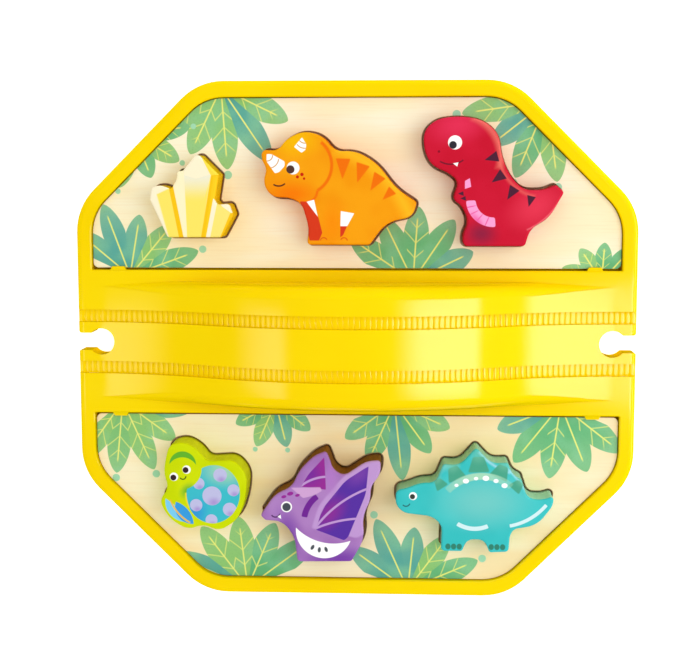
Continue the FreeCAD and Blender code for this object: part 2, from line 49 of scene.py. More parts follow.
bpy.ops.object.camera_add()
camera = bpy.context.object
to_tray = TRAY_TURN.to_matrix().transposed()
camera.location = to_tray @ -TRAY_PLACE + Vector((0, 0, RIM_TOP))
camera.rotation_euler = to_tray.to_euler()
camera.data.lens = LENS
bpy.context.scene.camera = camera
bpy.context.scene.view_settings.view_transform = "Standard"


# Studio. A white floor and an evenly lit room, two long lights whose images lie on the track, a
# low window that brightens the edges on the right, and two soft lights from the right, one high
# and one low. The room, the floor and those two are matt cloth, which gloss doesn't mirror.

class Wire:
    """A socket of a node tree. Arithmetic on wires adds the nodes that work it out."""

    def __init__(self, tree, socket=None):
        self.tree = tree
        self.socket = socket

    def node(self, kind, settings=None, values=None, output=0):
        """Any node: its settings are set first, then its sockets get values or wires."""
        made = self.tree.nodes.new(kind)
        for name, value in (settings or {}).items():
            if name == "stops":
                for index, (position, colour) in enumerate(value):
                    stops = made.color_ramp.elements
                    stop = stops[index] if index < len(stops) else stops.new(position)
                    stop.position = position
                    stop.color = colour
            else:
                setattr(made, name, value)
        for key, value in (values or {}).items():
            if isinstance(value, Wire):
                self.tree.links.new(value.socket, made.inputs[key])
            else:
                made.inputs[key].default_value = value
        return Wire(self.tree, made.outputs[output])

    def math(self, operation, *values):
        return self.node("ShaderNodeMath", {"operation": operation}, dict(enumerate(values)))

    def __add__(self, other):
        return self.math("ADD", self, other)

    def __sub__(self, other):
        return self.math("SUBTRACT", self, other)

    def __rsub__(self, other):
        return self.math("SUBTRACT", other, self)

    def __mul__(self, other):
        return self.math("MULTIPLY", self, other)

    def __truediv__(self, other):
        return self.math("DIVIDE", self, other)

    def step(self, low, high):
        """A soft step: 0 at low and 1 at high. With low above high it falls instead."""
        return self.node("ShaderNodeMapRange", {"interpolation_type": "SMOOTHSTEP"},
                         {"Value": self, "From Min": low, "From Max": high})

    def __abs__(self):
        return self.math("ABSOLUTE", self)

    def most(self, other, blend=0.0):
        """The larger of two values, rounded off where they are about alike."""
        return self.math("SMOOTH_MAX", self, other, blend)

    def vector(self, operation, *values, output=0):
        return self.node("ShaderNodeVectorMath", {"operation": operation},
                         dict(enumerate((self,) + values)), output)

    def scaled(self, factor):
        return self.node("ShaderNodeVectorMath", {"operation": "SCALE"},
                         {"Vector": self, "Scale": factor})

    def part(self, axis):
        return self.node("ShaderNodeSeparateXYZ", None, {0: self}, axis)

    def mixed(self, share, low, high):
        """A colour that goes from low to high as share goes from 0 to 1."""
        return self.node("ShaderNodeMix", {"data_type": "RGBA"}, {0: share, 6: low, 7: high}, 2)

    def painted(self, mask, colour):
        """This colour with another laid over it where the mask is 1."""
        return self.mixed(mask, self, colour)


def tint(red, green, blue):
    """A colour as a screen shows it, each part from 0 to 255, as a shader needs it."""
    shares = [part / 255 for part in (red, green, blue)]
    return [share / 12.92 if share <= 0.04045 else ((share + 0.055) / 1.055) ** 2.4
            for share in shares] + [1.0]


FLOOR_SIZE = 6.0
FLOOR_DROP = 0.0002
FLOOR_GLOW = 0.8
ROOM_GLOW = 0.86
LIGHT_HEIGHT = 0.612

# The box is a light's left, right, near and far limit. The pairs say where its four soft edges
# begin and where they reach full strength, and the slant turns its near and far edges.
TRACK_LIGHTS = {
    "right_window": {"radiance": 4.7, "box": (0.132, 0.690, -0.180, -0.022), "slant": 0.09,
                     "left": (0.132, 0.300), "right": (0.690, 0.590),
                     "near": (-0.114, -0.110), "far": (0.050, 0.048)},
    "left_strip": {"radiance": 1.9, "box": (-0.750, -0.292, -0.160, -0.030), "slant": 0.0,
                   "left": (-0.720, -0.390), "right": (-0.300, -0.372),
                   "near": (-0.160, -0.143), "far": (-0.033, -0.068)}}

bpy.ops.mesh.primitive_plane_add(size=FLOOR_SIZE, location=(0, 0, -FLOOR_DROP))
floor = bpy.context.object
floor.name = "studio_floor"
floor.visible_glossy = False
floor_white = bpy.data.materials.new("floor_white")
floor_white.use_nodes = True
floor_paper = Wire(floor_white.node_tree)
paper_place = floor_paper.node("ShaderNodeTexCoord", output="Object")
paper_cloud = floor_paper.node("ShaderNodeTexNoise", None, {"Vector": paper_place, "Scale": 3.0})
floor_shader = floor_white.node_tree.nodes["Principled BSDF"]
floor_shader.inputs["Roughness"].default_value = 0.9
floor_shader.inputs["Specular IOR Level"].default_value = 0.1
floor_shader.inputs["Emission Color"].default_value = (1, 1, 1, 1)
floor_shader.inputs["Emission Strength"].default_value = FLOOR_GLOW
floor_white.node_tree.links.new(
    floor_paper.mixed(paper_cloud, tint(243, 243, 242), tint(247, 247, 246)).socket,
    floor_shader.inputs["Base Color"])
floor.data.materials.append(floor_white)

room = bpy.data.worlds.new("studio_room")
room.use_nodes = True
room.cycles_visibility.glossy = False
bpy.context.scene.world = room
room.node_tree.nodes["Background"].inputs["Color"].default_value = (1, 1, 1, 1)
room.node_tree.nodes["Background"].inputs["Strength"].default_value = ROOM_GLOW


def softbox(name, centre, target, length, width, radiance, mirrored):
    """A flat light that faces a point. It either shows as an image in gloss or lights the rest."""
    bpy.ops.object.light_add(type="AREA", location=centre)
    light = bpy.context.object
    light.name = name
    light.data.shape = "RECTANGLE"
    light.data.size = length
    light.data.size_y = width
    light.data.energy = radiance * math.pi * length * width
    light.rotation_euler = (Vector(target) - Vector(centre)).to_track_quat("-Z", "Y").to_euler()
    light.visible_glossy = mirrored
    light.visible_diffuse = not mirrored
    return light


for name, strip in TRACK_LIGHTS.items():
    left, right, near, far = strip["box"]
    middle = ((left + right) / 2, (near + far) / 2)
    light = softbox(name, (*middle, LIGHT_HEIGHT), (*middle, 0), right - left, far - near,
                    strip["radiance"], True)
    light.data.use_nodes = True
    cloth = Wire(light.data.node_tree)
    place = cloth.node("ShaderNodeNewGeometry", output="Position")
    along = place.part("X")
    across = place.part("Y") + along * strip["slant"]
    shine = along.step(*strip["left"]) * along.step(*strip["right"])
    shine = shine * across.step(*strip["near"]) * across.step(*strip["far"])
    glowing = light.data.node_tree.nodes["Emission"]
    light.data.node_tree.links.new(shine.socket, glowing.inputs["Strength"])
softbox("low_window", centre=(1.1, -0.05, 0.3), target=(0.1, -0.05, 0), length=0.8, width=0.25,
        radiance=1.9, mirrored=True)
softbox("key_softbox", centre=(0.55, 0.12, 0.85), target=(0, 0, 0), length=0.6, width=0.6,
        radiance=2.4, mirrored=False)
softbox("side_softbox", centre=(0.87, 0.28, 0.12), target=(0, 0, 0), length=0.6, width=0.4,
        radiance=2.4, mirrored=False)


# Moulded frame. One injection-moulded part in glossy yellow plastic: the rim, the humped track
# with its two ribbed wheel grooves, a socket for a track peg at both ends and the shelf under
# the boards. It is the designed solid, with its shoulders drawn in and its grip ribs domed.

CLOSE = 1e-5
JOIN_DISTANCE = 1e-6
FLAT_ANGLE = math.radians(0.5)


def select_alone(*objects):
    bpy.ops.object.select_all(action="DESELECT")
    for item in objects:
        item.select_set(True)
    bpy.context.view_layer.objects.active = objects[0]


def copy_of(node, name):
    """A copy of a designed solid, with its loose triangles joined up and its flats made whole."""
    piece = bpy.data.objects.new(name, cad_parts[node].data.copy())
    piece.data.materials.clear()
    bpy.context.collection.objects.link(piece)
    select_alone(piece)
    bpy.ops.object.mode_set(mode="EDIT")
    bpy.ops.mesh.select_all(action="SELECT")
    bpy.ops.mesh.remove_doubles(threshold=JOIN_DISTANCE)
    bpy.ops.mesh.customdata_custom_splitnormals_clear()
    bpy.ops.mesh.dissolve_limited(angle_limit=FLAT_ANGLE)
    bpy.ops.object.mode_set(mode="OBJECT")
    return piece


def new_finish(name, **constants):
    """A material with the shader's constant sockets set, and a wire to build its pattern on."""
    finish = bpy.data.materials.new(name)
    finish.use_nodes = True
    shader = finish.node_tree.nodes["Principled BSDF"]
    for socket, value in constants.items():
        shader.inputs[socket.replace("_", " ")].default_value = value
    return finish, Wire(finish.node_tree)


def connect(finish, **wires):
    """Wires to the shader's sockets. Bump is a height in metres that feeds the normal."""
    shader = finish.node_tree.nodes["Principled BSDF"]
    for socket, wire in wires.items():
        if socket == "Bump":
            wire = wire.node("ShaderNodeBump", None, {"Height": wire, "Distance": 1.0})
            socket = "Normal"
        finish.node_tree.links.new(wire.socket, shader.inputs[socket.replace("_", " ")])


tray_frame = copy_of("tray_frame", "moulded_frame")

HUMP_SIDE = 0.0305
HUMP_END = 0.1365
HUMP_FOOT = 0.0117
FACING_UP = 0.05
SHOULDER_REACH = 0.0075
SHOULDER_SHARE = 0.84
END_SHARE = 0.3
RUN_OUT = 0.08

# A shoulder keeps a share of its designed reach, and less of it from RUN_OUT to the track's end.
for vertex in tray_frame.data.vertices:
    x, y, z = vertex.co
    in_from_side = HUMP_SIDE - abs(y)
    on_hump = abs(x) < HUMP_END - CLOSE and z > HUMP_FOOT
    on_shoulder = CLOSE < in_from_side < SHOULDER_REACH + CLOSE
    if on_hump and on_shoulder and vertex.normal.z > FACING_UP:
        late = min(max((abs(x) - RUN_OUT) / (HUMP_END - RUN_OUT), 0), 1)
        share = SHOULDER_SHARE + (END_SHARE - SHOULDER_SHARE) * late * late * (3 - 2 * late)
        vertex.co.y = math.copysign(HUMP_SIDE - in_from_side * share, y)

FRAME_EDGE = 0.00022
EDGE_STEPS = 2
EDGE_ANGLE = math.radians(34)
SMOOTH_ANGLE = math.radians(40)

edge = tray_frame.modifiers.new("edge", "BEVEL")
edge.width = FRAME_EDGE
edge.segments = EDGE_STEPS
edge.limit_method = "ANGLE"
edge.angle_limit = EDGE_ANGLE
bpy.ops.object.modifier_apply(modifier="edge")

GRIP_PITCH = 0.0027
GRIP_COUNT = 51
GROOVE_CENTRES = (-0.013, 0.013)
GROOVE_WIDTH = 0.0063
BAR_WIDTH = 0.00271
BAR_HEIGHT = 0.0009
BAR_ROUND = 0.001
BAR_STEPS = 4
BAR_SQUASH = 0.22
BAR_PROUD = 0.00006

# The designed ribs peak once in each pitch, and the groove's wall tells how high.
groove_wall = GROOVE_CENTRES[1] + GROOVE_WIDTH / 2
peaks = {}
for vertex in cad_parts["tray_frame"].data.vertices:
    x, y, z = vertex.co
    number = round(x / GRIP_PITCH)
    if abs(y - groove_wall) < CLOSE and abs(x - number * GRIP_PITCH) < CLOSE:
        peaks[number] = max(z, peaks.get(number, z))

# One bar is made too tall, rounded along its two upper edges and squashed to a low dome.
tall = BAR_HEIGHT / BAR_SQUASH
bpy.ops.object.select_all(action="DESELECT")
bpy.ops.mesh.primitive_cube_add(size=1)
blank = bpy.context.object
blank.data.transform(Matrix.Diagonal((BAR_WIDTH, GROOVE_WIDTH, tall, 1)))
bpy.ops.object.mode_set(mode="EDIT")
bpy.ops.mesh.select_all(action="DESELECT")
bpy.ops.object.mode_set(mode="OBJECT")
for line in blank.data.edges:
    ends = [blank.data.vertices[index].co for index in line.vertices]
    line.select = all(end.z > 0 for end in ends) and ends[0].x * ends[1].x > 0
bpy.ops.object.mode_set(mode="EDIT")
bpy.ops.mesh.select_mode(type="EDGE")
bpy.ops.mesh.bevel(offset=BAR_ROUND, segments=BAR_STEPS)
bpy.ops.object.mode_set(mode="OBJECT")
blank.data.transform(Matrix.Translation((0, 0, -tall / 2)))
blank.data.transform(Matrix.Diagonal((1, 1, BAR_SQUASH, 1)))
blank.data.transform(Matrix.Translation((0, 0, BAR_PROUD)))

# Copies of it lie along both grooves, each tilted to the slope of the ribs beside it.
bars = []
for number in range(-GRIP_COUNT, GRIP_COUNT + 1):
    rise = peaks[min(number + 1, GRIP_COUNT)] - peaks[max(number - 1, -GRIP_COUNT)]
    slope = math.atan2(rise, 2 * GRIP_PITCH)
    for centre in GROOVE_CENTRES:
        bar = bpy.data.objects.new("grip_bar", blank.data.copy())
        bpy.context.collection.objects.link(bar)
        place = Matrix.Translation((number * GRIP_PITCH, centre, peaks[number]))
        bar.data.transform(place @ Matrix.Rotation(-slope, 4, "Y"))
        bars.append(bar)
bpy.data.objects.remove(blank)
select_alone(tray_frame, *bars)
bpy.ops.object.join()
bpy.ops.object.shade_smooth_by_angle(angle=SMOOTH_ANGLE)
weights = tray_frame.modifiers.new("flats", "WEIGHTED_NORMAL")
weights.mode = "FACE_AREA_WITH_ANGLE"
weights.keep_sharp = True
bpy.ops.object.modifier_apply(modifier="flats")

yellow_plastic, wires = new_finish("glossy_yellow_plastic", IOR=1.5)
place = wires.node("ShaderNodeTexCoord", output="Object")
swirl = wires.node("ShaderNodeTexNoise", None, {"Vector": place, "Scale": 18.0, "Detail": 3.0})
skin = wires.node("ShaderNodeTexNoise", None, {"Vector": place, "Scale": 900.0, "Detail": 2.0})
connect(yellow_plastic,
        Base_Color=wires.mixed(swirl.step(0.35, 0.65), tint(254, 217, 0), tint(255, 221, 0)),
        Roughness=swirl * 0.05 + 0.07,
        Bump=skin * 0.000004)
tray_frame.data.materials.append(yellow_plastic)
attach(tray_frame, "tray")
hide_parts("tray_frame")

# Printed panels. Two sheets of birch plywood, 4 mm thick, laser cut to the windows' shape with
# six holes for the pieces. The cuts are scorched brown, and fans of leaves are printed on top.
# Gloss mirrors no panel, so the track beside them stays a clean yellow.

PANEL_TOP = 0.009
LEVEL = 0.9

# A point of a cut belongs to a hole if it lies between these two distances from the track's
# middle and inside the panel's slanted corners. The panel's own outline is scorched less.
HOLES_START = 0.045
HOLES_END = 0.113
HOLES_REACH = 0.182
SCORCH_REACH = 0.00045
RIM_SCORCH = 0.3
PANEL_WOOD = {"upper_panel": (tint(255, 250, 222), tint(255, 242, 198)),
              "lower_panel": (tint(255, 244, 206), tint(254, 230, 176))}

# A leaf's sizes are shares of its fan's reach, and its lines are in millimetres. Each fan has its
# root's x and y, its heading, its reach, its number of leaves and a number that varies them.
LEAF_SPREAD = math.radians(150)
LEAF_SOFT = 0.16
LEAF_VARIES = 0.25
LEAF_FULLNESS = 0.29
RIB_HALF_WIDTH = 0.36
RIB_END = 0.86
VEIN_PITCH = 0.17
VEIN_LEAN = 1.1
BERRY_GAP = 0.06
BERRY_RADIUS = 0.046
PANEL_FANS = {
    "upper_panel": [(-113, 33, 80, 40, 5, 1), (-66, 126, -86, 45, 5, 4), (-110, 104, -50, 30, 4, 9),
                    (29, 31, 86, 44, 5, 2), (94, 119, -112, 44, 5, 7), (122, 31, 105, 24, 4, 5)],
    "lower_panel": [(-118, -31, -66, 42, 5, 3), (-40, -31, -95, 27, 4, 8), (20, -31, -84, 40, 5, 6),
                    (103, -31, -98, 45, 5, 2), (-55, -127, 97, 46, 5, 5), (27, -127, 84, 42, 5, 1)]}


def millimetres(wires):
    """The place on the piece, in millimetres in the tray's frame."""
    return wires.node("ShaderNodeTexCoord", output="Object").scaled(1000)


def birch(place, pale, warm):
    """Colour of planed birch between two tints, with its fibres along the tray."""
    cloud = place.node("ShaderNodeTexNoise", None, {
        "Vector": place.vector("MULTIPLY", (0.012, 0.05, 0.05)), "Scale": 1.0, "Detail": 2.0})
    fibre = place.node("ShaderNodeTexNoise", None, {
        "Vector": place.vector("MULTIPLY", (0.04, 1.1, 1.1)), "Scale": 1.0, "Detail": 3.0})
    wood = place.mixed(cloud.step(0.35, 0.65), pale, warm)
    return wood.painted(fibre.step(0.45, 0.8) * 0.3, tint(246, 222, 172))


def leaf_fan(paint, place, x, y, heading, reach, leaves, seed):
    """Paint with a fan of broad leaves on it, which spread from a root, and berries beyond some."""
    local = place.node("ShaderNodeMapping", {"vector_type": "TEXTURE"},
                       {"Vector": place, "Location": (x, y, 0),
                        "Rotation": (0, 0, math.radians(heading))})
    along, across = local.part("X"), local.part("Y")
    distance = along.math("SQRT", along * along + across * across)
    turn = across.math("ARCTAN2", across, along) / (LEAF_SPREAD / leaves) + leaves / 2
    number = turn.math("FLOOR", turn)
    chance = place.node("ShaderNodeTexWhiteNoise", {"noise_dimensions": "1D"},
                        {"W": number + seed * 10})
    off = abs(turn - number - 0.5) * (LEAF_SPREAD / leaves) * distance
    length = chance * (LEAF_VARIES * reach) + (1 - LEAF_VARIES) * reach
    share = distance.math("MINIMUM", distance / length, 1.0)
    swell = share.math("SINE", share.math("POWER", share, 1.25) * math.pi)
    fullness = LEAF_FULLNESS * LEAF_SPREAD / leaves * reach
    half_width = share.math("POWER", swell, 0.6) * fullness
    inside = (leaves / 2 - abs(turn - leaves / 2)).step(0.0, 0.02)
    leaf = (half_width - off).step(0.0, 2 * LEAF_SOFT) * inside
    hue = place.node("ShaderNodeTexWhiteNoise", {"noise_dimensions": "1D"},
                     {"W": number + seed * 10 + 0.5})
    green = place.mixed(hue.step(0.3, 0.4), tint(86, 172, 158), tint(98, 186, 122))
    green = green.painted(hue.step(0.62, 0.7), tint(142, 202, 112))
    wash = place.node("ShaderNodeTexNoise", None, {"Vector": place, "Scale": 0.08, "Detail": 1.0})
    green = green.painted(wash.step(0.4, 0.7) * 0.55, tint(134, 206, 158))
    green = green.painted(share.step(0.35, 1.0) * 0.35, tint(172, 218, 160))
    grain = place.node("ShaderNodeTexNoise", None, {"Vector": place, "Scale": 1.1, "Detail": 2.0})
    green = green.painted(grain.step(0.5, 0.75) * 0.22, tint(92, 160, 112))
    paint = paint.painted(leaf, green)
    rib = (RIB_HALF_WIDTH - off).step(-LEAF_SOFT, LEAF_SOFT)
    rib = rib * (RIB_END - share).step(0.0, 0.06) * leaf
    vein_run = (distance - off * VEIN_LEAN) / (VEIN_PITCH * reach)
    vein = (0.05 - abs(vein_run.math("FRACT", vein_run) - 0.5)).step(-0.035, 0.035)
    vein = vein * (0.84 - share).step(0.0, 0.1) * leaf * hue.step(0.5, 0.51) * 0.7
    paint = paint.painted(rib.most(vein), tint(236, 240, 124))
    beyond = distance - length - BERRY_GAP * reach
    from_berry = beyond.math("SQRT", beyond * beyond + off * off)
    berry = (BERRY_RADIUS * reach - from_berry).step(-LEAF_SOFT, LEAF_SOFT)
    berry = berry * inside * chance.step(0.45, 0.46)
    return paint.painted(berry, tint(162, 222, 182))


for node, fans in PANEL_FANS.items():
    panel = copy_of(node, "printed_" + node)
    bpy.ops.object.mode_set(mode="EDIT")
    bpy.ops.mesh.select_mode(type="FACE")
    bpy.ops.mesh.select_all(action="DESELECT")
    bpy.ops.object.mode_set(mode="OBJECT")
    for face in panel.data.polygons:
        face.select = face.normal.z > LEVEL and face.center.z > PANEL_TOP - CLOSE
    bpy.ops.object.mode_set(mode="EDIT")
    bpy.ops.mesh.inset(thickness=SCORCH_REACH, depth=0)
    bpy.ops.object.mode_set(mode="OBJECT")
    scorch = panel.data.attributes.new("scorch", "FLOAT", "POINT")
    for vertex in panel.data.vertices:
        across, up = abs(vertex.co.x), abs(vertex.co.y)
        by_hole = HOLES_START < up < HOLES_END and across + up < HOLES_REACH
        scorch.data[vertex.index].value = 1.0 if by_hole else RIM_SCORCH
    for face in panel.data.polygons:
        if face.select:
            for index in face.vertices:
                scorch.data[index].value = 0.0
    print_finish, wires = new_finish("printed_birch_" + node, IOR=1.45)
    place = millimetres(wires)
    paint = birch(place, *PANEL_WOOD[node])
    for fan in fans:
        paint = leaf_fan(paint, place, *fan)
    burn = wires.node("ShaderNodeAttribute", {"attribute_name": "scorch"}, output="Fac")
    lift = place.part("Z").step(8.6, 8.95)
    paint = paint.painted(burn.step(0.1, 1.0) * 0.7, tint(160, 104, 44))
    paint = paint.painted(1.0 - lift, tint(214, 140, 52))
    fibre = wires.node("ShaderNodeTexNoise", None, {
        "Vector": place.vector("MULTIPLY", (0.05, 1.6, 1.6)), "Scale": 1.0, "Detail": 2.0})
    connect(print_finish, Base_Color=paint, Roughness=fibre * 0.1 + 0.42, Bump=fibre * 0.000012)
    panel.data.materials.append(print_finish)
    panel.visible_glossy = False
    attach(panel, "tray")
    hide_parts(node)

# Backings. Two sheets of thin bare plywood, glued under the panels. They close the holes from
# below, so that the pieces stand on them, and they lie on the frame's shelf.

plain_birch, wires = new_finish("bare_birch", IOR=1.45)
place = millimetres(wires)
fibre = wires.node("ShaderNodeTexNoise", None, {
    "Vector": place.vector("MULTIPLY", (0.05, 1.4, 1.4)), "Scale": 1.0, "Detail": 3.0})
connect(plain_birch, Base_Color=birch(place, tint(238, 216, 178), tint(232, 202, 154)),
        Roughness=fibre * 0.15 + 0.5, Bump=fibre * 0.00002)
for node in ("upper_backing", "lower_backing"):
    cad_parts[node].data.materials.clear()
    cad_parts[node].data.materials.append(plain_birch)

# Board screws. Four zinc-plated countersunk screws, driven from below through ears of the shelf
# into the boards' far edges.

screw_steel, wires = new_finish("zinc_plated_steel", Metallic=1.0)
place = millimetres(wires)
crystals = wires.node("ShaderNodeTexNoise", None, {"Vector": place, "Scale": 2.5, "Detail": 3.0})
connect(screw_steel,
        Base_Color=wires.mixed(crystals, tint(176, 178, 182), tint(216, 217, 214)),
        Roughness=crystals * 0.2 + 0.2)
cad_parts["board_screws"].data.materials.clear()
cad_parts["board_screws"].data.materials.append(screw_steel)

# Puzzle pieces. Each is sawn from 19 mm board, its top edge rounded by a router, painted all
# round in one colour and printed on top. They stand loose in the panels' holes.

# The heights and the prints' places are in millimetres.
PIECE_FOOT = 5.0
PIECE_TOP = 24.0
PIECE_ROUND = 1.2
ROUND_STEPS = 5
ROUTER_SLICE = 4.0
PIECE_SMOOTH = math.radians(35)
PRINT_EDGE = PIECE_TOP - 0.7 * PIECE_ROUND
WALL_EDGE = PIECE_TOP - PIECE_ROUND - 0.3
FOOT_PAINTED = PIECE_FOOT + 0.5
FOOT_BARE = PIECE_FOOT + 0.2
GRAIN_SHADE = 0.92
PRINT_SOFT = 0.13


def rounded_piece(node, name):
    """A copy of a piece's solid whose top edge is a full round instead of a plain bevel."""
    piece = copy_of(node, name)
    trimmed = PIECE_TOP - ROUTER_SLICE
    bpy.ops.object.mode_set(mode="EDIT")
    bpy.ops.mesh.select_mode(type="FACE")
    bpy.ops.mesh.select_all(action="SELECT")
    bpy.ops.mesh.bisect(plane_co=(0, 0, trimmed / 1000), plane_no=(0, 0, 1), use_fill=True,
                        clear_outer=True)
    bpy.ops.mesh.extrude_region_move(
        TRANSFORM_OT_translate={"value": (0, 0, (PIECE_TOP - trimmed) / 1000)})
    bpy.ops.mesh.bevel(offset=PIECE_ROUND / 1000, segments=ROUND_STEPS, affect="EDGES",
                       clamp_overlap=False)
    bpy.ops.object.mode_set(mode="OBJECT")
    bpy.ops.object.shade_smooth_by_angle(angle=PIECE_SMOOTH)
    flats = piece.modifiers.new("flats", "WEIGHTED_NORMAL")
    flats.keep_sharp = True
    bpy.ops.object.modifier_apply(modifier="flats")
    return piece


def from_middle(flat, x, y, wide, high=None, turn=0):
    """Distance from an ellipse's middle, 1 on its rim. It is given by centre and half sizes."""
    local = flat.node("ShaderNodeMapping", {"vector_type": "TEXTURE"},
                      {"Vector": flat, "Location": (x, y, 0), "Scale": (wide, high or wide, 1),
                       "Rotation": (0, 0, math.radians(turn))})
    return local.vector("LENGTH", output=1)


def spot(flat, x, y, wide, high=None, turn=0):
    """Mask of an ellipse."""
    soft = PRINT_SOFT / min(wide, high or wide)
    return from_middle(flat, x, y, wide, high, turn).step(1 + soft, 1 - soft)


def glow(flat, x, y, wide, high=None, turn=0):
    """Mask of a shade that fades from the middle of an ellipse to its rim."""
    return from_middle(flat, x, y, wide, high, turn).step(1.0, 0.0)


def beyond_line(flat, point, outward):
    """Distance past a straight line through a point, towards outward."""
    outward = Vector(outward).normalized()
    ahead = flat.vector("DOT_PRODUCT", (*outward, 0), output=1)
    return ahead - outward.dot(Vector(point))


def facet(flat, *corners, rounding=0.4, soft=PRINT_SOFT):
    """Mask of a convex polygon with its corners rounded off, in either order of corners."""
    middle = sum((Vector(corner) for corner in corners), Vector((0, 0))) / len(corners)
    worst = None
    for first, last in zip(corners, corners[1:] + corners[:1]):
        run = Vector(last) - Vector(first)
        outward = Vector((run.y, -run.x))
        if outward.dot(middle - Vector(first)) > 0:
            outward = -outward
        distance = beyond_line(flat, first, outward)
        worst = distance if worst is None else worst.most(distance, rounding)
    return worst.step(soft, -soft)


def circle_through(first, middle, last):
    """Centre and radius of the circle through three points."""
    (x1, y1), (x2, y2), (x3, y3) = first, middle, last
    twice = 2 * (x1 * (y2 - y3) + x2 * (y3 - y1) + x3 * (y1 - y2))
    one, two, three = [x * x + y * y for x, y in (first, middle, last)]
    centre_x = (one * (y2 - y3) + two * (y3 - y1) + three * (y1 - y2)) / twice
    centre_y = (one * (x3 - x2) + two * (x1 - x3) + three * (x2 - x1)) / twice
    centre = Vector((centre_x, centre_y))
    return centre, (Vector(first) - centre).length


def from_circle(flat, first, middle, last):
    """Distance outside the circle through three points."""
    centre, radius = circle_through(first, middle, last)
    return flat.vector("DISTANCE", (*centre, 0), output=1) - radius


def bow(flat, first, middle, last, width, soft=PRINT_SOFT):
    """Mask of a curved brush stroke through three points."""
    centre, radius = circle_through(first, middle, last)
    worst = abs(from_circle(flat, first, middle, last)) - width / 2
    for end, other in ((first, last), (last, first)):
        along = Vector((-(end[1] - centre.y), end[0] - centre.x))
        if along.dot(Vector(other) - Vector(end)) > 0:
            along = -along
        worst = worst.most(beyond_line(flat, end, along), width / 3)
    return worst.step(soft, -soft)


def between_arcs(flat, first, one, last, other):
    """Mask of what lies between two arcs that share both ends, such as a leaf or a moon."""
    edges = []
    for through, opposite in ((one, other), (other, one)):
        centre, radius = circle_through(first, through, last)
        edge = from_circle(flat, first, through, last)
        if (Vector(opposite) - centre).length > radius:
            edge = edge * -1.0
        edges.append(edge)
    return edges[0].most(edges[1], 0.4).step(PRINT_SOFT, -PRINT_SOFT)


def mark_axes(x, y, turn, tall, slim, root_share):
    """Root, way ahead and half width of a mark that stands at x, y, from its turn and sizes."""
    ahead = Vector((math.cos(math.radians(turn)), math.sin(math.radians(turn)))) * tall
    aside = Vector((-ahead.y, ahead.x)) * slim
    return Vector((x, y)) - ahead * root_share, ahead, aside


def wedge(flat, x, y, turn, tall, slim, root_share, rounding, soft=PRINT_SOFT):
    """Mask of a pointed mark, such as a stripe on a back."""
    root, ahead, aside = mark_axes(x, y, turn, tall, slim, root_share)
    return facet(flat, tuple(root + aside), tuple(root - aside), tuple(root + ahead),
                 rounding=rounding, soft=soft)


def painted_piece(node, body_colour, light_colour, side_colour, print_on):
    """Round a piece's top edge, paint it and print on its top."""
    piece = rounded_piece(node, "painted_" + node)
    finish, wires = new_finish(node + "_paint", IOR=1.5, Specular_IOR_Level=0.05)
    place = millimetres(wires)
    flat = place.vector("MULTIPLY", (1, 1, 0))
    cloud = wires.node("ShaderNodeTexNoise", None, {"Vector": place, "Scale": 0.06, "Detail": 1.0})
    paint = print_on(wires.mixed(cloud.step(0.35, 0.65), body_colour, light_colour), flat)
    height = place.part("Z")
    grain = wires.node("ShaderNodeTexNoise", None, {
        "Vector": place.vector("MULTIPLY", (0.35, 0.35, 0.06)), "Scale": 1.0, "Detail": 3.0})
    shaded = [part * GRAIN_SHADE for part in side_colour]
    wall = wires.mixed(grain.step(0.35, 0.7), side_colour, shaded)
    paint = paint.painted(height.step(PRINT_EDGE, WALL_EDGE), wall)
    paint = paint.painted(height.step(FOOT_PAINTED, FOOT_BARE), tint(222, 190, 140))
    speckle = wires.node("ShaderNodeTexNoise", None, {"Vector": place, "Scale": 1.4, "Detail": 2.0})
    connect(finish, Base_Color=paint, Roughness=speckle * 0.1 + 0.24, Bump=speckle * 0.000012)
    piece.data.materials.append(finish)
    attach(piece, node)
    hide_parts(node)


WHITE = tint(255, 255, 253)


def eye(paint, flat, x, y, radius, pupil_x, pupil_y, pupil_radius, dark):
    """A round white eye with a plain dark pupil."""
    paint = paint.painted(spot(flat, x, y, radius), WHITE)
    return paint.painted(spot(flat, pupil_x, pupil_y, pupil_radius), dark)


# Crystal piece, pale yellow. Three cut stones stand side by side, with cream caps, golden
# shadow facets and cream edges towards the light.

